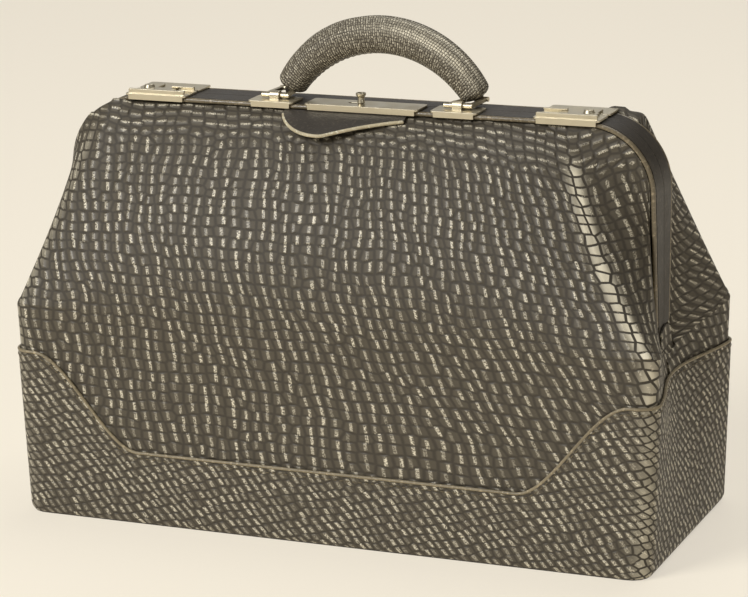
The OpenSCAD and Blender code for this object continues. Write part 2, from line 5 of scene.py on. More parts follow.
import bmesh
import bpy
from bpy.props import FloatProperty, FloatVectorProperty, PointerProperty
from mathutils import Matrix, Vector, noise
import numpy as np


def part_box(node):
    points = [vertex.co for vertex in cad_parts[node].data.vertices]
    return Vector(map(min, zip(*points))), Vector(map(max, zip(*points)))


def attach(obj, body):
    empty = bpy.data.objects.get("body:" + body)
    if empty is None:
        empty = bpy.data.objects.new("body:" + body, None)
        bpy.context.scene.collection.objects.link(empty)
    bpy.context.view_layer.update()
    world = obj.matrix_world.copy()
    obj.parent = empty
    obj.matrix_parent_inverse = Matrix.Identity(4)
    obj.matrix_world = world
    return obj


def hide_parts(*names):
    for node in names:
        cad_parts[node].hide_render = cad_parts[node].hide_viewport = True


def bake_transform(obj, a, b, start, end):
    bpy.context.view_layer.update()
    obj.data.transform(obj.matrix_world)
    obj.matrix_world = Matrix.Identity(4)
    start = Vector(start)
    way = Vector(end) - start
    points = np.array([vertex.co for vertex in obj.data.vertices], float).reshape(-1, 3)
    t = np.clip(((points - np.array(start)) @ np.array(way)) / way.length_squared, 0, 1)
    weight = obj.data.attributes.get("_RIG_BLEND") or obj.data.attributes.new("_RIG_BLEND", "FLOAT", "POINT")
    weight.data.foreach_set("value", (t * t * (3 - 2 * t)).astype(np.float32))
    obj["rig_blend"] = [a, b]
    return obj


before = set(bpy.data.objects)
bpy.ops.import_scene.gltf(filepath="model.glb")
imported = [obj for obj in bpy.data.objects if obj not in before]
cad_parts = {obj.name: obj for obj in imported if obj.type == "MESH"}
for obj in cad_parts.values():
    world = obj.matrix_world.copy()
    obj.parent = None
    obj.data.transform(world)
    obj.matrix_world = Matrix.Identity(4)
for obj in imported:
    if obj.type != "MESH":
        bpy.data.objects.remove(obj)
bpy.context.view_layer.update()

bl_info = {
    "name": "Travelling bag",
    "version": (1, 0, 0),
    "blender": (4, 5, 0),
    "location": "3D View > Sidebar > Bag",
    "description": "Dresses a frame-mouthed leather travelling bag, piece by piece",
    "category": "Object",
}

MM = 0.001
JAW_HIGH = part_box("front_frame_cover")[1]
MIDDLE = Vector((0, 0, 0.14))


def linear(code):
    """Linear colour of an sRGB hex code"""
    parts = [int(code[i:i + 2], 16) / 255 for i in (1, 3, 5)]
    return [p / 12.92 if p <= 0.04045 else ((p + 0.055) / 1.055) ** 2.4 for p in parts]


def length(name, description, default):
    """A length that a user may change, in metres"""
    return FloatProperty(name=name, description=description, default=default, unit="LENGTH", precision=4)


def colour(name, description, code):
    """A colour that a user may change"""
    return FloatVectorProperty(name=name, description=description, default=linear(code), subtype="COLOR",
                               size=3, min=0, max=1)


class BagSizes(bpy.types.PropertyGroup):
    """Sizes of the leather and of its pattern"""
    half_length: length("Half length", "Half the length of the leather tub at the ground", 229.4 * MM)
    half_depth: length("Half depth", "Half the depth of the leather tub", 93.9 * MM)
    fold_height: length("Fold height", "Height where the leather turns in to the frame", 152 * MM)
    notch_height: length("Notch height", "Height of the tub's rim in the middle of each end", 130 * MM)
    corner_radius: length("Corner radius", "Radius of the upright corners", 13 * MM)
    end_dip: length("End dip", "How far each end is drawn in at its middle", 23 * MM)
    end_flare: length("End flare", "How far the ends lean out at the fold", 7 * MM)
    side_draft: length("Side draft", "How much front and back lean in from ground to fold", 2 * MM)
    panel_low: length("Base panel low", "Height of the base panel along the middle", 51 * MM)
    panel_high: length("Base panel high", "Height of the base panel at the corners", 117 * MM)
    panel_turn: length("Base panel turn", "Where the base panel's edge begins to rise", 138 * MM)
    panel_risen: length("Base panel risen", "Where the base panel's edge has risen", 214 * MM)
    panel_out: length("Base panel stand", "How far the base panel stands out from the tub", 2.1 * MM)
    welt: length("Base welt", "Thickness of the welt along the base panel", 2.2 * MM)
    leather: length("Leather", "Thickness of the upper leather", 2 * MM)
    jaw_length: length("Half frame", "Half the length of the frame", JAW_HIGH[0])
    jaw_top: length("Frame top", "Height of the frame", JAW_HIGH[2])
    jaw_corner: length("Frame corner", "Radius of the frame's corners", 48 * MM)
    bead: length("Frame welt", "Thickness of the rolled edge of the frame", 3.2 * MM)
    swell: length("Swell", "How far front and back swell out", 9 * MM)
    shoulder: length("Shoulder", "How far the leather stands up below the frame", 5 * MM)
    ridge_swell: length("Ridge swell", "How far the corner ridges swell out", 2 * MM)
    sag: length("Gusset sag", "How far the gussets sink in", 5 * MM)
    tuck: length("Tuck", "How far the pushed-in front right gusset sinks in", 13 * MM)
    dent: length("Dents", "Depth of the soft dents in the leather", 1.3 * MM)
    tile: length("Tile", "Width of the embossed tiles on the body", 9.2 * MM)
    base_tile: length("Base tile", "Width of the embossed tiles on the base panel", 7 * MM)
    handle_tile: length("Handle tile", "Width of the embossed tiles on the handle", 1.7 * MM)
    ear: length("Ear", "Height that the rear right corner of the leather stands up to", 297 * MM)
    proud: length("Proud", "How far the full corners of the leather stand out past the frame", 10 * MM)
    stitch: length("Stitch", "Length of one stitch", 3.4 * MM)


class BagColours(bpy.types.PropertyGroup):
    """Colours of the bag and its stage"""
    hide: colour("Hide", "Embossed leather, on its tiles", "#564f42")
    groove: colour("Groove", "Embossed leather, in its grooves", "#403a30")
    # This colour paints highlights into the hide: the bright dashes on the tile crests, and the whole tiles
    # brightened along the ridges, the upright corners and the handle
    painted_highlight_colour: colour("Polish", "Embossed leather, where tile tops are rubbed bright", "#ebe2ca")
    handle: colour("Handle", "Leather of the handle", "#5d5546")
    trim: colour("Trim", "Smooth leather of the frame and the tab", "#38322a")
    roll: colour("Roll", "Rolled edge of the frame", "#766b56")
    welt: colour("Welt", "Welt along the base panel", "#8d8168")
    edge: colour("Edge", "Cut edge of the pull tab", "#c4b899")
    flesh: colour("Flesh side", "Inner side of the leather", "#6f5339")
    lining: colour("Lining", "Lining cloth", "#7a5a3c")
    brass: colour("Plated brass", "Plates, catches, rings and knob", "#e0d6bd")
    steel: colour("Steel", "Frame steel", "#77726a")
    board: colour("Board", "Bottom board", "#8f7350")
    thread: colour("Thread", "Sewing thread", "#75694f")
    floor: colour("Floor", "Pale floor", "#a7a08f")
    glow: colour("Glow", "Light that the paper floor lets through from below", "#eee6d8")


def sizes():
    return bpy.context.scene.bag_sizes


def colours():
    return bpy.context.scene.bag_colours


def ease(a):
    t = max(0.0, min(1.0, a))
    return t * t * (3 - 2 * t)


def mix(a, b, t):
    return a + (b - a) * t


# Shape of the leather, the same as the solids': the frame's edges that it is seated under, and how it is bent
JAW_WEB = 16.6 * MM
SEAT = 4 * MM
SEAT_OVER = 1.3 * MM
LEG_TUCK = 5.4 * MM
LEG_WIDTH = 11 * MM
LEG_END = 149.5 * MM
WELT_OVER = 1.8 * MM
FOLD_TURN = 0.85
RIDGE_PAST = 24 * MM
TUCK_PAST = -9 * MM
TUCK_BEND = 1.55
GUSSET_SIDE = Vector((0.45, -0.89, 0))

# Shares that bring the greatest sag and the greatest shoulder to 1
SAG_SHARE = 27 / 4
SHOULDER_SHARE = 1 / 0.082

# Depth and height where the upper leather and its lining leave the tub, and past which they go with a jaw
FOLD_LINE = (94 * MM, 152 * MM)
SEAT_LINE = (17 * MM, 229 * MM)

# Name, side and body of each jaw's pieces
JAWS = (("front", 1, "front_jaw"), ("rear", -1, "rear_jaw"))

# Thickness of each leather and cloth
TUB_WALL = 2.4 * MM
BOTTOM_WALL = 2.5 * MM
BASE_WALL = 1.6 * MM
TONGUE_WALL = 1.2 * MM
STRAP_WALL = 1.9 * MM
CLOTH_WALL = 0.8 * MM
FLOOR_CLOTH_WALL = 0.6 * MM

# Distance within which meeting edges are joined, thickness of the thread, and how far its stitches stand out
WELD = 0.02 * MM
THREAD = 0.9 * MM
STITCH_LIFT = 0.1 * MM


def rim(y):
    """Height of the tub's rim, which falls to a notch in the middle of each end"""
    s = sizes()
    return s.notch_height + (s.fold_height - s.notch_height) * min(1, abs(y) / s.half_depth)


def dip(y, z):
    """How far an end is drawn in, most at its middle and at the fold"""
    s = sizes()
    across = math.cos(math.pi / 2 * min(1, abs(y) / s.half_depth))
    return s.end_dip * (max(0, z) / s.fold_height) ** 1.5 * across ** 2


def flare(z):
    """Share by which the ends lean out at a height"""
    s = sizes()
    return 1 + s.end_flare / s.half_length * max(0, z) / s.fold_height


def draft(y, z):
    """Depth of a point of the plan once front and back lean in"""
    s = sizes()
    return y * (1 - s.side_draft / s.half_depth * max(0, z) / s.fold_height)


def plan_runs():
    """Straight runs and corner arcs round the tub, from the rear left corner past the front"""
    s = sizes()
    fx = s.half_length - s.corner_radius
    fy = s.half_depth - s.corner_radius
    arc = s.corner_radius * math.pi / 2
    return [("line", (-s.half_length, fy), (0, -1), 2 * fy, (-1, 0)), ("arc", (-fx, -fy), 180, arc, None),
            ("line", (-fx, -s.half_depth), (1, 0), 2 * fx, (0, -1)), ("arc", (fx, -fy), 270, arc, None),
            ("line", (s.half_length, -fy), (0, 1), 2 * fy, (1, 0)), ("arc", (fx, fy), 0, arc, None),
            ("line", (fx, s.half_depth), (-1, 0), 2 * fx, (0, 1)), ("arc", (-fx, fy), 90, arc, None)]


def plan_length():
    return sum(run[3] for run in plan_runs())


def front_way():
    """Way round the tub to the middle of the front"""
    runs = plan_runs()
    return runs[0][3] + runs[1][3] + runs[2][3] / 2


def plan_at(way):
    """Point on the tub's plan and the direction outward"""
    s = sizes()
    for kind, start, turn, long, out in plan_runs():
        if way <= long:
            break
        way -= long
    if kind == "line":
        return Vector((start[0] + turn[0] * way, start[1] + turn[1] * way)), Vector(out)
    angle = math.radians(turn + 90 * min(1, way / long))
    out = Vector((math.cos(angle), math.sin(angle)))
    return Vector(start) + out * s.corner_radius, out


def wall_point(way, z, off):
    """Point of the tub's wall at a height, moved out by off"""
    p, out = plan_at(way)
    x = p.x * flare(z) - math.copysign(1, p.x) * dip(p.y, z)
    return Vector((x + out.x * off, draft(p.y, z) + out.y * off, z))


def panel_top(x):
    """Height of the base panel's edge, which rises to the corners"""
    s = sizes()
    rise = ease((abs(x) - s.panel_turn) / (s.panel_risen - s.panel_turn))
    return mix(s.panel_low, s.panel_high, rise)


def corner_centre():
    """Centre of the frame's right corner, across and up"""
    s = sizes()
    return s.jaw_length - s.jaw_corner, s.jaw_top - s.jaw_corner


def leg_edge(z):
    """Half the depth of a jaw, whose legs taper below the corner"""
    _, zc = corner_centre()
    if z >= zc:
        return JAW_WEB
    return mix(LEG_WIDTH, JAW_WEB, max(0, z - LEG_END) / (zc - LEG_END))


def seat_way():
    """Length of the leather's edge under the frame's welt, from the middle to the end of a leg"""
    xc, zc = corner_centre()
    return xc + (sizes().jaw_corner - SEAT) * math.pi / 2 + zc - LEG_END


def seat_point(way):
    """Edge of the upper leather under the frame's welt, at a way from the middle"""
    s = sizes()
    xc, zc = corner_centre()
    r = s.jaw_corner - SEAT
    if way <= xc:
        return Vector((way, -JAW_WEB - SEAT_OVER, s.jaw_top - SEAT))
    a = (way - xc) / r
    if a <= math.pi / 2:
        return Vector((xc + r * math.sin(a), -JAW_WEB - SEAT_OVER, zc + r * math.cos(a)))
    z = zc - (way - xc - r * math.pi / 2)
    x = s.jaw_length - SEAT - LEG_TUCK * ((zc - z) / (zc - LEG_END)) ** 2
    return Vector((x, -leg_edge(z) - SEAT_OVER, z))


def seat_out(p):
    """Direction that faces out of the frame at a point of the leather's edge"""
    xc, zc = corner_centre()
    return Vector((max(0, p.x - xc), 0, max(0, p.z - zc))).normalized()


def fold_point(u):
    """Edge of the upper leather at the fold, u from 0 in the middle to 1 at the corner and 2 below the leg"""
    s = sizes()
    k = s.corner_radius * (1 - math.sqrt(0.5))
    if u <= 1:
        x = u * (s.half_length - k)
        q = max(0, x - (s.half_length - s.corner_radius))
        y = s.half_depth - s.corner_radius + math.sqrt(s.corner_radius ** 2 - q * q)
        return Vector((x * flare(s.fold_height), -draft(y, s.fold_height), s.fold_height))
    # The corner's rounding is left behind within a twelfth of the gusset
    g = u - 1
    y = mix(s.half_depth - k, LEG_WIDTH + SEAT_OVER, g)
    x = (s.half_length - max(0, k - g * 12 * k)) * flare(rim(y)) - dip(y, rim(y))
    return Vector((x, -draft(y, rim(y)), rim(y)))


def upper_point(v, t, corners, shoulder, ear=0):
    """Point of the front upper leather: v runs from leg to leg, t from the frame to the fold. The ear is the
    height that the leather stands up to past the frame's corner"""
    s = sizes()
    u = abs(v)
    g = max(0, u - 1)
    past, bend, sag, proud = corners[0] if v < 0 else corners[1]
    start = corner_centre()[0] + past
    a = seat_point(u * start if u <= 1 else mix(start, seat_way(), g))
    b = fold_point(u)
    slope = Vector((0, -(s.jaw_top - s.fold_height), s.half_depth - JAW_WEB)).normalized()
    bulge = 4 * t * (1 - t)
    if u <= 1:
        amount = mix(s.swell, s.ridge_swell, u ** 4)
    else:
        amount = s.ridge_swell * (1 - g) ** 6 - sag * SAG_SHARE * g * (1 - g) ** 2
    turn = FOLD_TURN * (s.half_depth - JAW_WEB + 4 * s.swell * slope.y) * max(0, 1 - u ** 4) * t * t * (1 - t)
    p = a + (b - a) * t
    p.x -= (b.x - a.x) * (1 - g) ** 2 * (t - t ** bend)
    p.y -= turn
    p += slope.lerp(GUSSET_SIDE, ease(g * 6)).normalized() * amount * bulge
    p += slope * shoulder * max(0, 1 - u ** 6) * t * (1 - t) ** 4 * SHOULDER_SHARE
    # A full corner stands out from before the ridge to well into the gusset, an ear at the ridge alone
    stand = proud * ease((u - 0.84) / 0.12) * (1 - ease((u - 1.35) / 0.4)) * (1 - t) ** 2 * ease(t / 0.04)
    p += (seat_out(a) + Vector((0, -0.25, 0))) * stand
    if ear and v > 0:
        stand = max(0, ear - a.z) * ease((u - 0.8) / 0.1) * (1 - ease(g / 0.12))
        p += Vector((0, -0.2, 1)) * stand * (1 - t) ** 1.5 * ease(t / 0.035)
    if v < 0:
        p.x = -p.x
    return p


def soft_dent(p, seed):
    """Dents and swellings of handled leather, from about -1 to 1: wide ones, and lesser narrow ones"""
    wide = noise.noise(Vector((p.x * 11, p.z * 13, seed)))
    return wide + 0.5 * noise.noise(Vector((p.x * 27, p.z * 31, seed)))


def tile_lean(u):
    """Lean of the rows of tiles, which flow from upright at the left to leaning at the right"""
    return 0.2 + 0.3 * ease((u + 0.05) / 0.28)


def tile_place(u, v):
    """Where a point of the hide lies in the emboss, in millimetres"""
    wave = 3 * MM * math.sin(v * 42 + u * 9)
    return ((u + v * tile_lean(u) + wave) / MM, v / MM)


# Mesh helpers
def grid(columns, rows, place, pattern=None):
    """Grid whose points place(a, b) gives, a and b running from 0 to 1, with the pattern's own map"""
    bm = bmesh.new()
    # Amount of painted highlight at each point, which brightens whole tiles of the emboss
    bm.verts.layers.float.new("painted_highlight_amount")
    bmesh.ops.create_grid(bm, x_segments=columns, y_segments=rows, size=0.5)
    spots = {v: (v.co.x + 0.5, v.co.y + 0.5) for v in bm.verts}
    if pattern:
        layer = bm.loops.layers.uv.new("grain")
        for face in bm.faces:
            for loop in face.loops:
                loop[layer].uv = pattern(*spots[loop.vert])
    for v, (a, b) in spots.items():
        v.co = place(a, b)
    return bm, spots


def lay_grain(bm, spots, columns, rows, turn):
    """Map the emboss by the leather's own lengths, along each row from its middle and up from the fold"""
    table = {(round(a * columns), round(b * rows)): v for v, (a, b) in spots.items()}
    middle = columns // 2
    along = {}
    up = {}
    for j in range(rows + 1):
        along[middle, j] = 0.0
        for i in range(middle, columns):
            along[i + 1, j] = along[i, j] + (table[i + 1, j].co - table[i, j].co).length
        for i in range(middle, 0, -1):
            along[i - 1, j] = along[i, j] - (table[i - 1, j].co - table[i, j].co).length
    for i in range(columns + 1):
        up[i, rows] = 0.0
        for j in range(rows, 0, -1):
            up[i, j - 1] = up[i, j] + (table[i, j - 1].co - table[i, j].co).length
    keys = {v: key for key, v in table.items()}
    layer = bm.loops.layers.uv.new("grain")
    for face in bm.faces:
        for loop in face.loops:
            key = keys[loop.vert]
            loop[layer].uv = tile_place(turn(along[key]), up[key])


def paint_highlights(bm, spots, amount):
    """Mark how much painted highlight brightens the leather at each point"""
    layer = bm.verts.layers.float["painted_highlight_amount"]
    for v, (a, b) in spots.items():
        v[layer] = amount(a, b)


def same_both_sides(bm, spots, where):
    """Mark the faces that keep the outer material on their inner side too, where a fold shows both sides"""
    for face in bm.faces:
        if all(where(*spots[v]) for v in face.verts):
            face.material_index = 2


def weld(bm):
    """Join the edges that meet"""
    bmesh.ops.remove_doubles(bm, verts=bm.verts, dist=WELD)


def close_up(bm):
    """Join the edges that meet and turn the faces of a closed piece outward"""
    weld(bm)
    bmesh.ops.recalc_face_normals(bm, faces=bm.faces)


def face_up(bm, up=1):
    """Turn a flat piece's faces up, or down where up is -1"""
    bm.normal_update()
    if sum(f.normal.z for f in bm.faces) * up < 0:
        bmesh.ops.reverse_faces(bm, faces=bm.faces)


def area_of(bm):
    return sum(f.calc_area() for f in bm.faces)


def face_out(bm):
    """Turn an open shell's faces away from the middle of the bag"""
    bm.normal_update()
    side = sum(f.normal.dot(f.calc_center_median() - MIDDLE) * f.calc_area() for f in bm.faces)
    if side < 0:
        bmesh.ops.reverse_faces(bm, faces=bm.faces)


def piece(name, bm, material, thickness=0, crease=1.2, inner=None):
    """Make an object of a mesh, sharp at its rim and past a crease. A wall is given by its thickness, and the
    wall's inner side may have a material of its own"""
    for face in bm.faces:
        face.smooth = True
    for edge in bm.edges:
        edge.smooth = not (edge.is_boundary or edge.calc_face_angle(0) > crease)
    mesh = bpy.data.meshes.new(name)
    bm.to_mesh(mesh)
    bm.free()
    mesh.materials.append(material)
    obj = bpy.data.objects.new(name, mesh)
    bpy.context.scene.collection.objects.link(obj)
    if thickness:
        wall = obj.modifiers.new("wall", "SOLIDIFY")
        wall.thickness = thickness
        wall.offset = -1
        if inner:
            mesh.materials.append(inner)
            mesh.materials.append(material)
            wall.material_offset = 1
    return obj


def tube(points, radius, closed, around=12):
    """Round tube along points, its ends drawn to a dome where it isn't closed"""
    count = len(points)
    long = [0.0]
    for i in range(1, count):
        long.append(long[-1] + (points[i] - points[i - 1]).length)

    def place(a, b):
        i = min(count - 1, round(a * count)) if not closed else round(a * count) % count
        before = points[i - 1] if closed or i > 0 else points[0]
        after = points[(i + 1) % count] if closed or i < count - 1 else points[-1]
        along = (after - before).normalized()
        # A direction across the tube, from whichever helper doesn't lie along it
        out = along.cross(Vector((0.13, 0.21, 0.97)))
        out = along.cross(Vector((0.97, 0.2, 0.1))) if out.length < 0.2 else out
        out.normalize()
        up = along.cross(out)
        r = radius
        if not closed:
            end = min(long[i], long[-1] - long[i])
            r *= math.sqrt(max(0.0004, 1 - max(0, 1 - end / radius) ** 2))
        angle = 2 * math.pi * b
        return points[i] + r * (math.cos(angle) * out + math.sin(angle) * up)

    bm, _ = grid(count if closed else count - 1, around, place)
    return bm


def fit(obj, body, node=None):
    """Give a piece its body, and let it stand for a solid where one is named"""
    if node:
        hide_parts(node)
    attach(obj, body)


def hang(obj, jaw, side, node):
    """Let a soft piece stand for a solid, with its foot on the tub and its top on a jaw"""
    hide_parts(node)
    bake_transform(obj, "bag_body", jaw, start=(0, -FOLD_LINE[0] * side, FOLD_LINE[1]),
             end=(0, -SEAT_LINE[0] * side, SEAT_LINE[1]))


def plan_sheet(inset, height, up):
    """Flat piece cut to the plan of the tub and turned up or down, at the height that each point is given"""
    total = plan_length()

    def place(a, b):
        p, out = plan_at(a * total)
        spot = (p - out * inset) * b
        return Vector((spot.x, spot.y, height(spot, b)))

    bm, _ = grid(240, 24, place)
    close_up(bm)
    face_up(bm, up)
    return bm


def softened(node, material, body, width):
    """Stand-in for a solid with its sharp edges broken, as sheet metal and pared leather have them"""
    flat, sharp_from = 0.02, 0.6
    bm = bmesh.new()
    bm.from_mesh(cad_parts[node].data)
    bmesh.ops.remove_doubles(bm, verts=bm.verts, dist=0.01 * MM)
    bmesh.ops.dissolve_limit(bm, angle_limit=flat, verts=bm.verts, edges=bm.edges)
    sharp = [e for e in bm.edges if e.is_manifold and e.calc_face_angle(0) > sharp_from]
    bmesh.ops.bevel(bm, geom=sharp, offset=width, offset_type="OFFSET", segments=2, profile=0.5,
                    affect="EDGES", clamp_overlap=True, material=-1)
    obj = piece(node + "_finished", bm, material, crease=0.9)
    obj.modifiers.new("flat faces", "WEIGHTED_NORMAL").keep_sharp = True
    fit(obj, body, node)


def stitches(path, name):
    """A row of stitches along a path of points with their outward directions"""
    s = sizes()
    bm = bmesh.new()
    way = 0.0
    for (p, out), (q, _) in zip(path, path[1:]):
        way += (q - p).length
        if way < s.stitch * 1.25:
            continue
        way = 0.0
        along = (q - p).normalized()
        side = along.cross(out).normalized()
        turn = Matrix((along, side, out)).transposed().to_4x4()
        turn.translation = p + out * STITCH_LIFT
        scale = Matrix.Diagonal((s.stitch / 2, THREAD / 2, THREAD / 2, 1))
        bmesh.ops.create_icosphere(bm, subdivisions=1, radius=1, matrix=turn @ scale)
    return piece(name, bm, material_thread())


# Materials
def add_node(tree, kind, inputs=None, **settings):
    """Add one shader node with its settings, and set its inputs or link them, to a node's first output unless
    another output is given"""
    new = tree.nodes.new("ShaderNode" + kind)
    for key, value in settings.items():
        setattr(new, key, value)
    for key, value in (inputs or {}).items():
        if isinstance(value, bpy.types.Node):
            value = value.outputs[0]
        if isinstance(value, bpy.types.NodeSocket):
            tree.links.new(value, new.inputs[key])
        else:
            new.inputs[key].default_value = value
    return new


def per(size):
    """Pattern scale, on coordinates in metres, for a feature of a size in millimetres"""
    return 1 / (size * MM)


def made_once(nodes):
    """Turn a function that adds nodes, up to the shader, into one that gives the material of a name"""
    def material(name, *values):
        if name not in bpy.data.materials:
            new = bpy.data.materials.new(name)
            new.use_nodes = True
            new.node_tree.nodes.clear()
            add = partial(add_node, new.node_tree)
            add("OutputMaterial", {"Surface": nodes(add, *values)})
        return bpy.data.materials[name]
    return material


def rgba(value):
    return (value[0], value[1], value[2], 1)


@made_once
def tiled_hide(add, width, tall, depth, hide, dash, turned):
    """Embossed cowhide: pressed under a hot plate into rows of tiles, then glazed. Each tile has a dull dark
    groove round it and a narrow crest painted bright as a highlight; where painted highlight is marked, the
    whole tile is painted bright as well.
    Past the height turned, in millimetres, the tiles lie across. The pores are drawn coarser than life so
    that they show"""
    c = colours()
    wander = (9, 6, 0)
    turning = 22
    uneven = 0.42
    grain = add("UVMap", uv_map="grain")
    painted_highlight_share = add("Attribute", attribute_name="painted_highlight_amount")
    flow = add("TexNoise", {"Vector": grain, "Scale": 1 / 50, "Detail": 1.5}, noise_dimensions="2D")
    drift = add("VectorMath", {0: flow.outputs["Color"], 1: (0.5, 0.5, 0.5)}, operation="SUBTRACT")
    moved = add("VectorMath", {0: drift, 1: wander, 2: grain}, operation="MULTIPLY_ADD")
    scaled = add("VectorMath", {0: moved, 1: (MM / width, MM / tall, 0)}, operation="MULTIPLY")
    cells = add("TexVoronoi", {"Vector": scaled, "Scale": 1, "Randomness": uneven}, voronoi_dimensions="2D",
                feature="F1")
    edges = add("TexVoronoi", {"Vector": scaled, "Scale": 1, "Randomness": uneven}, voronoi_dimensions="2D",
                feature="DISTANCE_TO_EDGE")
    within = add("VectorMath", {0: scaled, 1: cells.outputs["Position"]}, operation="SUBTRACT")
    inside = add("VectorMath", {0: within}, operation="ABSOLUTE")
    apart = add("SeparateXYZ", {0: inside})
    place = add("SeparateXYZ", {0: grain})
    lying = add("MapRange", {"Value": place.outputs["Y"], "From Min": turned, "From Max": turned + turning})
    across = add("Mix", {0: lying, 2: apart.outputs["X"], 3: apart.outputs["Y"]})
    along = add("Mix", {0: lying, 2: apart.outputs["Y"], 3: apart.outputs["X"]})
    plateau = add("MapRange", {"Value": edges.outputs["Distance"], "From Min": 0.02, "From Max": 0.2},
                  interpolation_type="SMOOTHSTEP")
    rib = add("MapRange", {"Value": across, "From Min": 0.0, "From Max": 0.45, "To Min": 1.0,
                           "To Max": 0.0}, interpolation_type="SMOOTHSTEP")
    height = add("Math", {0: plateau, 1: rib}, operation="MULTIPLY")
    pores = add("TexNoise", {"Vector": grain, "Scale": 1 / 1.11, "Detail": 3}, noise_dimensions="2D")
    relief = add("Math", {0: pores, 1: 0.22, 2: height}, operation="MULTIPLY_ADD")
    bump = add("Bump", {"Height": relief, "Strength": 1.0, "Distance": depth})
    # The narrow crest dashes are painted highlights, broken up by the pores and left out on some tiles
    narrow = add("MapRange", {"Value": across, "From Min": dash[0] * 0.5, "From Max": dash[0],
                              "To Min": 1.0, "To Max": 0.0})
    short = add("MapRange", {"Value": along, "From Min": dash[1] * 0.7, "From Max": dash[1], "To Min": 1.0,
                             "To Max": 0.0})
    crest = add("Math", {0: narrow, 1: short}, operation="MULTIPLY")
    lot = add("SeparateXYZ", {0: cells.outputs["Color"]})
    chance = add("MapRange", {"Value": lot.outputs["X"], "To Min": 0.2, "To Max": 1.0})
    broken = add("MapRange", {"Value": pores, "From Min": 0.35, "From Max": 0.6})
    partly = add("Math", {0: crest, 1: chance}, operation="MULTIPLY")
    painted_glint_dashes = add("Math", {0: partly, 1: broken}, operation="MULTIPLY")
    # Whole tiles are painted bright as highlights where the painted highlight amount is marked
    flat_top = add("MapRange", {"Value": plateau, "From Min": 0.35, "From Max": 0.7})
    whole = add("Math", {0: flat_top, 1: painted_highlight_share.outputs["Fac"]}, operation="MULTIPLY")
    often = add("MapRange", {"Value": lot.outputs["Y"], "To Min": 0.5, "To Max": 1.0})
    rubbed = add("Math", {0: whole, 1: often}, operation="MULTIPLY")
    share = add("Math", {0: painted_glint_dashes, 1: rubbed}, operation="MAXIMUM")
    toned = add("Mix", {0: plateau, 6: rgba(c.groove), 7: rgba(hide)}, data_type="RGBA")
    bright = add("Mix", {0: share, 6: toned.outputs[2], 7: rgba(c.painted_highlight_colour)}, data_type="RGBA")
    gloss = add("MapRange", {"Value": height, "To Min": 0.65, "To Max": 0.36})
    return add("BsdfPrincipled", {"Base Color": bright.outputs[2], "Roughness": gloss, "IOR": 1.45,
                                  "Normal": bump})


def material_hide():
    """Embossed cowhide of the body"""
    s = sizes()
    return tiled_hide("embossed_hide", s.tile, s.tile * 0.8, 0.6 * MM, colours().hide, (0.15, 0.46), 122)


def material_base_hide():
    """The same hide cut on the slant for the base panel, its tiles pressed smaller"""
    s = sizes()
    return tiled_hide("embossed_base_hide", s.base_tile, s.base_tile * 0.85, 0.5 * MM, colours().hide,
                      (0.24, 0.44), 900)


def material_handle_hide():
    """Fine-grained hide rolled round the handle"""
    s = sizes()
    return tiled_hide("embossed_handle_hide", s.handle_tile, s.handle_tile * 1.3, 0.25 * MM, colours().handle,
                      (0.35, 0.5), 900)


@made_once
def smooth_hide(add, tone, rough):
    """Smooth glazed cowhide: pared thin and rubbed, which gives a low sheen. Its fine pores and pale specks
    are drawn coarser than life so that they show"""
    place = add("TexCoord").outputs["Object"]
    pores = add("TexVoronoi", {"Vector": place, "Scale": per(1.43)})
    cloud = add("TexNoise", {"Vector": place, "Scale": per(16.7), "Detail": 4})
    speck = add("TexNoise", {"Vector": place, "Scale": per(2.38), "Detail": 2})
    dark = [x * 0.55 for x in tone]
    light = [min(1, x * 1.35) for x in tone]
    pale = [min(1, x * 2.6) for x in tone]
    mottled = add("Mix", {0: cloud, 6: rgba(dark), 7: rgba(light)}, data_type="RGBA")
    spots = add("MapRange", {"Value": speck, "From Min": 0.56, "From Max": 0.72, "To Max": 0.6})
    toned = add("Mix", {0: spots, 6: mottled.outputs[2], 7: rgba(pale)}, data_type="RGBA")
    gloss = add("MapRange", {"Value": cloud, "To Min": rough - 0.1, "To Max": rough + 0.15})
    bump = add("Bump", {"Height": pores.outputs["Distance"], "Strength": 0.5, "Distance": 0.25 * MM})
    return add("BsdfPrincipled", {"Base Color": toned.outputs[2], "Roughness": gloss, "IOR": 1.5,
                                  "Normal": bump})


def material_trim():
    """Dark glazed hide of the covers, the tab and the loops"""
    return smooth_hide("glazed_trim_hide", colours().trim, 0.5)


def material_edge():
    """Pale cut edge, burnished with wax"""
    return smooth_hide("burnished_edge_hide", colours().edge, 0.45)


def material_roll():
    """Thin hide rolled over a cord and rubbed glossy"""
    return smooth_hide("rolled_edge_hide", colours().roll, 0.24)


def material_welt():
    """Thin hide folded and sewn into the seam"""
    return smooth_hide("base_welt_hide", colours().welt, 0.42)


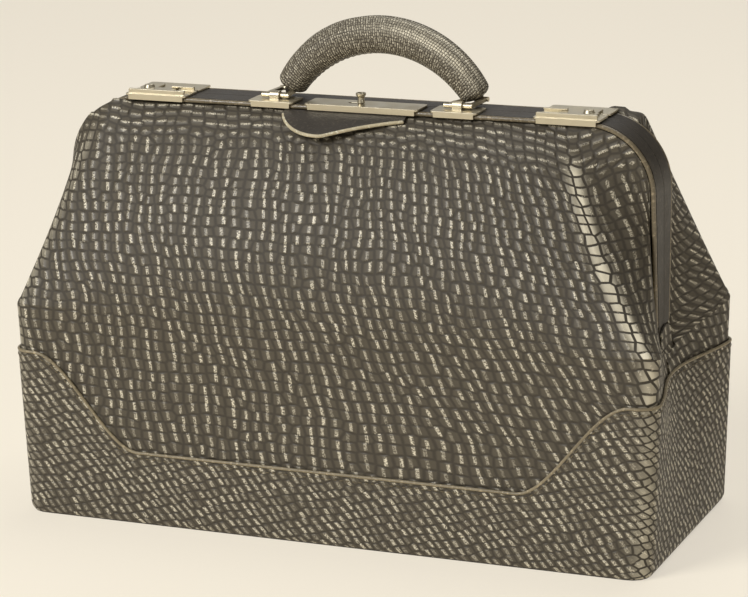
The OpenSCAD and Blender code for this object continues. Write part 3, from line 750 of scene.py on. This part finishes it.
@made_once
def twill_cloth(add, tone):
    """Cotton drill: a twill weave, matt, its slanting ribs drawn coarser than life so that they show"""
    rib = 1.21
    place = add("TexCoord").outputs["Object"]
    turned = add("Mapping", {"Vector": place, "Rotation": (0.6, 0.7, 0.8)})
    twill = add("TexWave", {"Vector": turned, "Scale": math.pi / 10 * per(rib), "Distortion": 1.2,
                            "Detail": 2, "Detail Scale": 3})
    cloud = add("TexNoise", {"Vector": place, "Scale": per(40), "Detail": 3})
    tint = add("Mix", {0: twill.outputs[1], 6: rgba([x * 0.6 for x in tone]), 7: rgba(tone)},
               data_type="RGBA")
    soiled = add("Mix", {0: cloud, 6: tint.outputs[2], 7: rgba([x * 0.75 for x in tone])}, data_type="RGBA")
    bump = add("Bump", {"Height": twill.outputs[1], "Strength": 0.5, "Distance": 0.3 * MM})
    rough = add("MapRange", {"Value": cloud, "To Min": 0.8, "To Max": 0.95})
    return add("BsdfPrincipled", {"Base Color": soiled.outputs[2], "Roughness": rough, "Sheen Weight": 0.2,
                                  "Normal": bump})


def material_cloth():
    """Woven cotton lining, dyed brown and a little soiled"""
    return twill_cloth("cotton_drill", colours().lining)


@made_once
def worn_metal(add, tone, rough, scratch):
    """Sheet metal, rolled and buffed along its length: duller handled places and fine scratches, which are
    drawn coarser than life so that they show"""
    place = add("TexCoord").outputs["Object"]
    drawn = add("Mapping", {"Vector": place, "Scale": (per(25), per(1.11), per(1.11))})
    lines = add("TexNoise", {"Vector": drawn, "Scale": 1, "Detail": 3})
    cloud = add("TexNoise", {"Vector": place, "Scale": per(11.1), "Detail": 4})
    toned = add("Mix", {0: cloud, 6: rgba([x * 0.72 for x in tone]), 7: rgba(tone)}, data_type="RGBA")
    gloss = add("MapRange", {"Value": cloud, "From Min": 0.3, "From Max": 0.7, "To Min": rough,
                             "To Max": rough + 0.18})
    bump = add("Bump", {"Height": lines, "Strength": scratch, "Distance": 0.05 * MM})
    return add("BsdfPrincipled", {"Base Color": toned.outputs[2], "Roughness": gloss, "Metallic": 1,
                                  "Normal": bump})


def material_brass():
    """Stamped brass, plated and buffed: pale and bright with soft reflections"""
    return worn_metal("plated_brass", colours().brass, 0.32, 0.25)


def material_steel():
    """Cold-rolled mild steel: grey and satin"""
    return worn_metal("rolled_steel", colours().steel, 0.4, 0.5)


@made_once
def fibrous(add, tone, rough):
    """Pressed fibre, spun thread or the buffed flesh side of a hide: matt, with a mottling that is drawn
    coarser than life so that it shows"""
    place = add("TexCoord").outputs["Object"]
    mottle = add("TexNoise", {"Vector": place, "Scale": per(2.5), "Detail": 4})
    toned = add("Mix", {0: mottle, 6: rgba([x * 0.6 for x in tone]), 7: rgba(tone)}, data_type="RGBA")
    bump = add("Bump", {"Height": mottle, "Strength": 0.3, "Distance": 0.2 * MM})
    return add("BsdfPrincipled", {"Base Color": toned.outputs[2], "Roughness": rough, "Normal": bump})


def material_thread():
    """Linen thread, waxed"""
    return fibrous("waxed_thread", colours().thread, 0.55)


def material_flesh():
    """Flesh side of the hide, buffed to a short nap"""
    return fibrous("buffed_flesh_side", colours().flesh, 0.85)


def material_board():
    """Straw board, pressed"""
    return fibrous("straw_board", colours().board, 0.9)


@made_once
def matt_paper(add, tone, glow):
    """Seamless studio paper, calendered: matt, with a faint tooth drawn coarser than life so that it shows"""
    place = add("TexCoord").outputs["Object"]
    tooth = add("TexNoise", {"Vector": place, "Scale": per(3.33), "Detail": 3})
    toned = add("Mix", {0: tooth, 6: rgba([x * 0.97 for x in tone]), 7: rgba(tone)}, data_type="RGBA")
    return add("BsdfPrincipled", {"Base Color": toned.outputs[2], "Roughness": 0.95,
                                  "Specular IOR Level": 0.1, "Emission Color": rgba(glow),
                                  "Emission Strength": 0.7})


def paint(node, material):
    """Give a carried-over solid its material"""
    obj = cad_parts[node]
    obj.data.materials.clear()
    obj.data.materials.append(material)


class BAG_OT_upper_leather(bpy.types.Operator):
    """Make the front and rear upper leather with their halves of the gussets"""
    bl_idname = "bag.upper_leather"
    bl_label = "Upper leather"

    def execute(self, context):
        s = sizes()
        full = (RIDGE_PAST, 1, s.sag, s.proud)
        eared = (RIDGE_PAST, 1, s.sag, 0)
        tucked = (TUCK_PAST, TUCK_BEND, s.tuck, 0)
        right = {"front": tucked, "rear": eared}
        for name, side, jaw in JAWS:
            self.make(name, (full, right[name]), side, jaw)
        return {"FINISHED"}

    def make(self, name, corners, side, jaw):
        """Leather from the frame to the fold, dented, with painted highlights along its ridges"""
        s = sizes()
        columns, rows = 320, 60
        half = plan_length() / 2 * flare(s.fold_height)
        crown, spread = 0.992, 0.026
        slight = 0.35
        ridge = 1.4 if side > 0 else slight
        ear = 0 if side > 0 else s.ear

        def place(a, b):
            v = 4 * a - 2
            p = upper_point(v, b, corners, s.shoulder, ear)
            hold = (4 * b * (1 - b)) ** 2 * max(0, 1 - v ** 4)
            p.y -= s.dent * hold * soft_dent(p, side)
            p.y *= side
            return p

        # Painted highlight along the corner ridges, strongest along the front jaw's right ridge
        def painted_highlight_share(a, b):
            v = 4 * a - 2
            most = ridge if v > 0 else slight
            return most * math.exp(-((abs(v) - crown) / spread) ** 2) * ease((b - 0.1) / 0.15)

        bm, spots = grid(columns, rows, place)
        near = [v for v, (a, b) in spots.items() if 0.95 < abs(4 * a - 2) < 1.06 and 0.03 < b < 0.97]
        for _ in range(4):
            bmesh.ops.smooth_vert(bm, verts=near, factor=0.5, use_axis_x=True, use_axis_y=True,
                                  use_axis_z=True)
        paint_highlights(bm, spots, painted_highlight_share)
        lay_grain(bm, spots, columns, rows, lambda way: way if side > 0 else half - way)
        same_both_sides(bm, spots, lambda a, b: 0.8 < abs(4 * a - 2) < 1.3 and b > 0.3)
        face_out(bm)
        obj = piece(name + "_leather", bm, material_hide(), s.leather, inner=material_flesh())
        hang(obj, jaw, side, name + "_body_panel")


def corner_painted_highlight(way, amount):
    """Painted highlight down an upright corner at a way round the tub: most at the front right, less at the
    others
    """
    s = sizes()
    runs = plan_runs()
    start = 0.0
    painted_highlight_share = 0.0
    for i, run in enumerate(runs):
        if run[0] == "arc":
            off = way - start - run[3] / 2
            most = amount if i == 3 else amount * 0.35
            painted_highlight_share = max(painted_highlight_share, most * math.exp(-(off / (0.5 * s.corner_radius)) ** 2))
        start += run[3]
    return painted_highlight_share


class BAG_OT_lower_leather(bpy.types.Operator):
    """Make the leather tub below the fold"""
    bl_idname = "bag.lower_leather"
    bl_label = "Lower leather"

    def execute(self, context):
        s = sizes()
        total = plan_length()
        middle = front_way()
        low = 3 * MM

        def place(a, b):
            way = a * total
            p, out = plan_at(way)
            z = mix(low, rim(p.y), b)
            q = wall_point(way, z, 0)
            hold = (4 * b * (1 - b)) ** 2 * abs(out.y)
            q.y += out.y * s.dent * hold * soft_dent(q, out.y)
            return q

        def pattern(a, b):
            p, _ = plan_at(a * total)
            z = mix(low, rim(p.y), b)
            return tile_place((a * total - middle) * flare(z), z - s.fold_height)

        bm, spots = grid(440, 40, place, pattern)
        # Painted highlights down the upright corners
        paint_highlights(bm, spots, lambda a, b: corner_painted_highlight(a * total, 0.9))
        weld(bm)
        face_out(bm)
        obj = piece("tub_leather", bm, material_hide(), TUB_WALL, inner=material_flesh())
        fit(obj, "bag_body", "lower_body")
        for name, side in (("left_hinge_tongue", -1), ("right_hinge_tongue", 1)):
            self.tongue(name, side)
        self.bottom()
        return {"FINISHED"}

    def tongue(self, name, side):
        """Leather tongue that rises from the tub's end over a hinge"""
        s = sizes()
        low, high, round_at = 118 * MM, 150 * MM, 139 * MM
        leave, rise = 124 * MM, 14 * MM
        half_wide = 11.5 * MM
        on_wall = 1.3 * MM
        clear = s.jaw_length + 1.7 * MM

        def place(a, b):
            z = mix(low, high, b)
            wide = half_wide * math.sqrt(max(0.01, 1 - max(0, (z - round_at) / (high - round_at)) ** 2))
            y = wide * (2 * a - 1)
            wall = s.half_length * flare(z) - dip(y, z) + on_wall
            x = mix(wall, clear, ease((z - leave) / rise))
            return Vector((side * max(x, clear), y, z))

        def pattern(a, b):
            p = place(a, b)
            return tile_place(plan_length() / 4 + p.y, p.z - s.fold_height)

        bm, _ = grid(24, 32, place, pattern)
        face_out(bm)
        obj = piece(name, bm, material_hide(), TONGUE_WALL)
        fit(obj, "bag_body")

    def bottom(self):
        """Leather under the bag, cut to the plan of the tub"""
        bm = plan_sheet(0.3 * MM, lambda spot, b: 0, -1)
        obj = piece("bottom_leather", bm, material_trim(), BOTTOM_WALL)
        fit(obj, "bag_body", "bottom_panel")


class BAG_OT_base_panel(bpy.types.Operator):
    """Make the base panel, the welt along its edge and its stitches"""
    bl_idname = "bag.base_panel"
    bl_label = "Base panel"

    def execute(self, context):
        s = sizes()
        total = plan_length()
        middle = front_way()
        foot = 0.8 * MM
        turn_in = 5 * MM
        crowd = 1.3
        from_edge = 2.6 * MM

        def place(a, b):
            way = a * total
            p, _ = plan_at(way)
            z = mix(foot, panel_top(p.x), b ** crowd)
            under = max(0, 1 - (z - foot) / turn_in)
            return wall_point(way, z, s.panel_out * (1 - 0.9 * under * under))

        def pattern(a, b):
            p, _ = plan_at(a * total)
            u = a * total - middle
            v = mix(foot, panel_top(p.x), b ** crowd)
            return ((u + 0.8 * v) / MM, (v - 0.25 * u) / MM)

        bm, spots = grid(440, 44, place, pattern)
        # Painted highlights down the base panel's corners
        paint_highlights(bm, spots, lambda a, b: corner_painted_highlight(a * total, 0.6))
        weld(bm)
        face_out(bm)
        panel = piece("base_panel", bm, material_base_hide(), BASE_WALL)
        fit(panel, "bag_body", "base_band")

        count = 560
        line = []
        sewn = []
        for i in range(count):
            way = total * i / count
            p, _ = plan_at(way)
            line.append(wall_point(way, panel_top(p.x) + s.welt / 2, 0.3 * MM + s.welt / 2))
        bm = tube(line, s.welt / 2, True)
        close_up(bm)
        welt = piece("base_welt_roll", bm, material_welt())
        fit(welt, "bag_body", "base_welt")

        for i in range(4 * count + 1):
            way = total * i / (4 * count)
            p, out = plan_at(way)
            sewn.append((wall_point(way, panel_top(p.x) - from_edge, s.panel_out), out.to_3d()))
        row = stitches(sewn, "base_stitches")
        fit(row, "bag_body")
        return {"FINISHED"}


class BAG_OT_frame_edge(bpy.types.Operator):
    """Make the rolled welts of both jaws and finish the jaws' covers and steel"""
    bl_idname = "bag.frame_edge"
    bl_label = "Frame edges"

    def execute(self, context):
        s = sizes()
        r = s.bead / 2
        xc, zc = corner_centre()
        edge = JAW_WEB + WELT_OVER
        half = [Vector((xc * i / 40, -edge, s.jaw_top - r)) for i in range(41)]
        for i in range(1, 25):
            a = math.pi / 2 * i / 24
            bend = s.jaw_corner - r
            half.append(Vector((xc + bend * math.sin(a), -edge, zc + bend * math.cos(a))))
        for i in range(1, 25):
            z = mix(zc, LEG_END - 2 * MM, i / 24)
            half.append(Vector((s.jaw_length - r, -leg_edge(z) - WELT_OVER, z)))
        for name, side, jaw in JAWS:
            right = [Vector((p.x, p.y * side, p.z)) for p in half]
            left = [Vector((-p.x, p.y, p.z)) for p in reversed(right[1:])]
            bm = tube(left + right, r, False)
            close_up(bm)
            welt = piece(name + "_frame_roll", bm, material_roll())
            fit(welt, jaw, name + "_frame_welt")
            softened(name + "_frame_cover", material_trim(), jaw, 0.4 * MM)
            paint(name + "_frame", material_steel())
        for node in ("left_hinge_pin", "right_hinge_pin"):
            paint(node, material_steel())
        return {"FINISHED"}


class BAG_OT_linings(bpy.types.Operator):
    """Make the cloth linings and finish the bottom"""
    bl_idname = "bag.linings"
    bl_label = "Linings"

    def execute(self, context):
        s = sizes()
        full = (RIDGE_PAST, 1, s.sag, 0)
        tucked = (TUCK_PAST, TUCK_BEND, s.tuck, 0)
        right = {"front": tucked, "rear": full}
        for name, side, jaw in JAWS:
            self.upper(name, (full, right[name]), side, jaw)
        self.tub()
        self.floor()
        paint("bottom_board", material_board())
        return {"FINISHED"}

    def tub(self):
        """Cloth pasted to the inside of the tub, with shallow puckers"""
        total = plan_length()
        low = 7.5 * MM
        below_rim = 2.5 * MM
        inset = 3.7 * MM
        pucker = 0.25 * MM

        def place(a, b):
            way = a * total
            p, _ = plan_at(way)
            z = mix(low, rim(p.y) - below_rim, b)
            return wall_point(way, z, -inset + pucker * noise.noise(Vector((way * 60, z * 25, 3))))

        bm, _ = grid(300, 20, place)
        weld(bm)
        face_out(bm)
        area = area_of(bm)
        obj = piece("tub_cloth", bm, material_cloth(), CLOTH_WALL)
        fit(obj, "bag_body", "lower_lining")

    def floor(self):
        """Cloth laid over the bottom board"""
        inset = 4.9 * MM
        lying = 6.3 * MM
        pucker = 0.2 * MM

        def height(spot, b):
            return lying + pucker * noise.noise(Vector((spot.x * 30, spot.y * 30, 5))) * b

        bm = plan_sheet(inset, height, 1)
        area = area_of(bm)
        obj = piece("floor_cloth", bm, material_cloth(), FLOOR_CLOTH_WALL)
        fit(obj, "bag_body", "floor_lining")

    def upper(self, name, corners, side, jaw):
        """Cloth behind the upper leather, a little slack and spanned across the corners"""
        s = sizes()
        behind = s.leather + 0.9 * MM
        slack = 2.5 * MM
        across_corner = 6 * MM
        above_rim = 0.4 * MM
        start = 0.11
        e = 0.004

        def place(a, b):
            v = 4 * a - 2
            t = mix(start, 1, b)
            across = upper_point(min(2, v + e), t, corners, 0) - upper_point(max(-2, v - e), t, corners, 0)
            down = upper_point(v, max(0, t - e), corners, 0) - upper_point(v, min(1, t + e), corners, 0)
            out = across.cross(down).normalized()
            span = across_corner * math.exp(-((abs(v) - 1) / 0.12) ** 2) * 4 * b * (1 - b)
            hollow = slack * (1 - b) * (4.3 * b + 0.3 * (1 - b))
            p = upper_point(v, t, corners, 0) - out * (behind + span + hollow)
            p.z = max(p.z, rim(p.y) + above_rim) if b > 0.99 else p.z
            p.y *= side
            return p

        bm, _ = grid(120, 24, place)
        face_out(bm)
        area = area_of(bm)
        obj = piece(name + "_cloth", bm, material_cloth(), CLOTH_WALL)
        hang(obj, jaw, side, name + "_lining")


class BAG_OT_handle(bpy.types.Operator):
    """Make the rolled leather handle, its loops and its seam"""
    bl_idname = "bag.handle"
    bl_label = "Handle"

    def execute(self, context):
        low, high = (Vector(c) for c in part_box("handle_grip"))
        middle = (low + high) / 2
        mid_r = 13 * MM
        end_r = 10.2 * MM
        half = 67 * MM
        end_z = 300.7 * MM
        past = 1.07
        rise = high.z - mid_r - end_z
        bend = (half * half + rise * rise) / (2 * rise)
        reach = math.asin(half / bend)
        centre = Vector((middle.x, middle.y, end_z + rise - bend))

        def arc(p):
            a = reach * p
            return Vector((math.sin(a), 0, math.cos(a)))

        def radius(p):
            full = math.cos(math.radians(85 * max(-1, min(1, p))))
            return mix(end_r, mid_r, max(0, full) ** 0.7)

        def place(a, b):
            p = past * (2 * a - 1)
            out = arc(p)
            nose = min(1, (past - abs(p)) / 0.07)
            r = radius(p) * math.sqrt(max(0.03, 1 - (1 - nose) ** 2))
            angle = 2 * math.pi * b
            # The leather laps over itself along a seam that winds a little
            lap = math.remainder(angle + 0.3 + 0.55 * p, 2 * math.pi)
            ply = 1 + 0.04 * math.exp(-(lap / 0.11) ** 2) - 0.04 * math.exp(-((lap - 0.24) / 0.08) ** 2)
            around = math.cos(angle) * out + math.sin(angle) * Vector((0, 1, 0))
            return centre + out * bend + r * ply * around

        def pattern(a, b):
            return (2 * past * reach * bend * a / MM, 2 * math.pi * mid_r * b / MM)

        # Painted highlight in two bands along the right half
        def painted_highlight_share(a, b):
            along = (past * (2 * a - 1) - 0.5) / 0.5
            around = math.remainder(2 * math.pi * b + 0.75, 2 * math.pi)
            bands = math.exp(-((around - 0.4) / 0.2) ** 2) + math.exp(-((around + 0.25) / 0.28) ** 2)
            return 1.5 * math.exp(-along * along) * bands

        bm, spots = grid(140, 72, place, pattern)
        paint_highlights(bm, spots, painted_highlight_share)
        weld(bm)
        bmesh.ops.holes_fill(bm, edges=bm.edges, sides=0)
        bmesh.ops.recalc_face_normals(bm, faces=bm.faces)
        grip = piece("rolled_handle", bm, material_handle_hide())
        fit(grip, "handle", "handle_grip")

        sewn = []
        for i in range(800):
            p = mix(-0.9, 0.9, i / 799)
            out = arc(p)
            sewn.append((centre + out * (bend - radius(p) * 0.985), -out))
        row = stitches(sewn, "handle_stitches")
        fit(row, "handle")

        for node in ("left_handle_loop", "right_handle_loop"):
            self.loop(node, material_trim())
        return {"FINISHED"}

    def loop(self, node, material):
        """Strap that runs down from the handle, round the ring's bar and up again"""
        low, high = (Vector(c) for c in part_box(node))
        bar = (low + high) / 2
        wide = (high.x - low.x) / 2
        r = (high.z - low.z) / 2
        rise = 7 * MM
        leg = 0.3

        def place(a, b):
            x = bar.x + wide * (2 * b - 1)
            if a < leg:
                return Vector((x, bar.y - r, bar.z + rise * (1 - a / leg)))
            if a > 1 - leg:
                return Vector((x, bar.y + r, bar.z + rise * (a - 1 + leg) / leg))
            angle = math.pi * (a - leg) / (1 - 2 * leg)
            return Vector((x, bar.y - r * math.cos(angle), bar.z - r * math.sin(angle)))

        bm, _ = grid(40, 6, place)
        bm.normal_update()
        face = min(bm.faces, key=lambda f: f.calc_center_median().z)
        if face.normal.z > 0:
            bmesh.ops.reverse_faces(bm, faces=bm.faces)
        obj = piece(node + "_strap", bm, material, STRAP_WALL)
        fit(obj, "handle", node)


class BAG_OT_pull_tab(bpy.types.Operator):
    """Make the half-round pull tab below the lock and its light edge"""
    bl_idname = "bag.pull_tab"
    bl_label = "Pull tab"

    def execute(self, context):
        low, high = (Vector(c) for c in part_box("pull_tab"))
        half = (high.x - low.x) / 2
        deep = 27 * MM
        shallow = 3 * MM
        lean = 0.25
        droop = math.radians(28)
        thick = 2.2 * MM
        ahead = Vector((0, -math.cos(droop), -math.sin(droop)))
        up = Vector((0, -math.sin(droop), math.cos(droop)))
        root = Vector(((low.x + high.x) / 2, high.y - 0.5 * thick * math.sin(droop), 285.9 * MM))

        # The edge drops roundly at the left and runs up nearly straight at the right
        def skin(a, b):
            i = math.sin(math.pi / 2 * (2 * a - 1))
            k = i + lean * (1 - i * i)
            drop = 1.08 - math.hypot(k, 0.08) if k > 0 else max(0, 1 - k * k) ** 0.8
            long = shallow + (deep - shallow) * drop
            lift = (1.2 * math.sin(math.pi * b) + 1.6 * b ** 3) * (1 - k * k) * MM
            return root + Vector((i * half, 0, 0)) + ahead * long * b + up * (lift + thick / 2)

        bm, _ = grid(60, 16, skin)
        face_up(bm)
        tab = piece("pull_tab_leather", bm, material_trim(), thick)
        fit(tab, "front_jaw", "pull_tab")

        edge = [skin(i / 120, 1) - up * thick / 2 for i in range(3, 118)]
        bm = tube(edge, 1.25 * MM, False, 10)
        close_up(bm)
        roll = piece("pull_tab_edge", bm, material_edge())
        fit(roll, "front_jaw")
        return {"FINISHED"}


class BAG_OT_hardware(bpy.types.Operator):
    """Finish the lock, catches, handle plates and rings with broken edges"""
    bl_idname = "bag.hardware"
    bl_label = "Hardware"

    def execute(self, context):
        plates = {"front_jaw": ("lock_plate", "left_catch_plate", "right_catch_plate", "left_handle_plate",
                                "right_handle_plate"),
                  "rear_jaw": ("left_catch_keeper", "right_catch_keeper"),
                  "left_catch": ("left_catch_slide",),
                  "right_catch": ("right_catch_slide",),
                  "handle": ("left_handle_ring", "right_handle_ring")}
        for body, nodes in plates.items():
            for node in nodes:
                softened(node, material_brass(), body, 0.45 * MM)
        softened("lock_knob", material_brass(), "lock_slider", 0.2 * MM)
        for node in ("lock_case", "lock_strike"):
            paint(node, material_steel())
        return {"FINISHED"}


class BAG_OT_stage(bpy.types.Operator):
    """Make the pale floor, the soft light and the camera"""
    bl_idname = "bag.stage"
    bl_label = "Stage"

    def execute(self, context):
        scene = context.scene
        scene.view_settings.view_transform = "Standard"
        self.floor()
        self.light("key", (-1.6, -2.6, 2.4), (0, 0, 0.15), (1.5, 1.5), 100)
        self.light("strip", (2.1, -1.0, 0.75), (0.2, -0.05, 0.17), (0.07, 1.3), 3.2)
        self.light("card", (-1.1, 2.8, 1.1), (0, 0, 0.29), (2.2, 1.2), 4.2)
        self.light("top", (0.2, 0.9, 2.6), (0, 0, 0.2), (1.6, 1.6), 24)
        world = bpy.data.worlds.new("studio")
        world.use_nodes = True
        world.node_tree.nodes["Background"].inputs["Color"].default_value = rgba(linear("#f4ecdc"))
        world.node_tree.nodes["Background"].inputs["Strength"].default_value = 0.16
        scene.world = world
        self.camera(scene)
        return {"FINISHED"}

    def floor(self):
        """Round floor of studio paper"""
        material = matt_paper("studio_paper", colours().floor, colours().glow)
        bm = bmesh.new()
        bmesh.ops.create_circle(bm, cap_ends=True, segments=96, radius=7)
        bmesh.ops.translate(bm, verts=bm.verts, vec=(0, 0, -0.0002))
        piece("floor", bm, material)

    def light(self, name, place, aim, size, power):
        """Soft rectangular lamp aimed at a point, its power in watts"""
        lamp = bpy.data.lights.new(name, "AREA")
        lamp.shape = "RECTANGLE"
        lamp.size, lamp.size_y = size
        lamp.energy = power
        obj = bpy.data.objects.new(name, lamp)
        obj.matrix_world = Matrix.Translation(place) @ (
            Vector(aim) - Vector(place)).to_track_quat("-Z", "Y").to_matrix().to_4x4()
        bpy.context.scene.collection.objects.link(obj)

    def camera(self, scene):
        """Camera fitted to the edges of the bag in the photograph"""
        turn, tilt, roll = (math.radians(x) for x in (22.79, 14.95, -1.41))
        back = Vector((math.sin(turn) * math.cos(tilt), -math.cos(turn) * math.cos(tilt), math.sin(tilt)))
        right = Vector((math.cos(turn), math.sin(turn), 0))
        up = back.cross(right)
        level = right * math.cos(roll) + up * math.sin(roll)
        above = up * math.cos(roll) - right * math.sin(roll)
        data = bpy.data.cameras.new("camera")
        data.sensor_width = 36
        data.lens = 148.86
        data.shift_x = 0.0015
        data.shift_y = -0.008
        obj = bpy.data.objects.new("camera", data)
        pose = Matrix((level, above, back)).transposed().to_4x4()
        pose.translation = (0.8095, -1.9242, 0.7123)
        obj.matrix_world = pose
        scene.collection.objects.link(obj)
        scene.camera = obj


class BAG_PT_panel(bpy.types.Panel):
    """Sizes, colours and steps of the bag"""
    bl_idname = "BAG_PT_panel"
    bl_label = "Travelling bag"
    bl_space_type = "VIEW_3D"
    bl_region_type = "UI"
    bl_category = "Bag"

    def draw(self, context):
        for step in STEPS:
            self.layout.operator(step.bl_idname)
        for group in (context.scene.bag_sizes, context.scene.bag_colours):
            for key in group.bl_rna.properties.keys():
                if key not in ("rna_type", "name"):
                    self.layout.prop(group, key)


STEPS = [BAG_OT_stage, BAG_OT_upper_leather, BAG_OT_lower_leather, BAG_OT_base_panel, BAG_OT_frame_edge,
         BAG_OT_linings, BAG_OT_handle, BAG_OT_pull_tab, BAG_OT_hardware]
CLASSES = [BagSizes, BagColours] + STEPS + [BAG_PT_panel]


def register():
    for cls in CLASSES:
        bpy.utils.register_class(cls)
    bpy.types.Scene.bag_sizes = PointerProperty(type=BagSizes)
    bpy.types.Scene.bag_colours = PointerProperty(type=BagColours)


def unregister():
    del bpy.types.Scene.bag_sizes
    del bpy.types.Scene.bag_colours
    for cls in reversed(CLASSES):
        bpy.utils.unregister_class(cls)


def main():
    register()
    for step in STEPS:
        group, name = step.bl_idname.split(".")
        getattr(getattr(bpy.ops, group), name)()


if __name__ == "__main__":
    main()
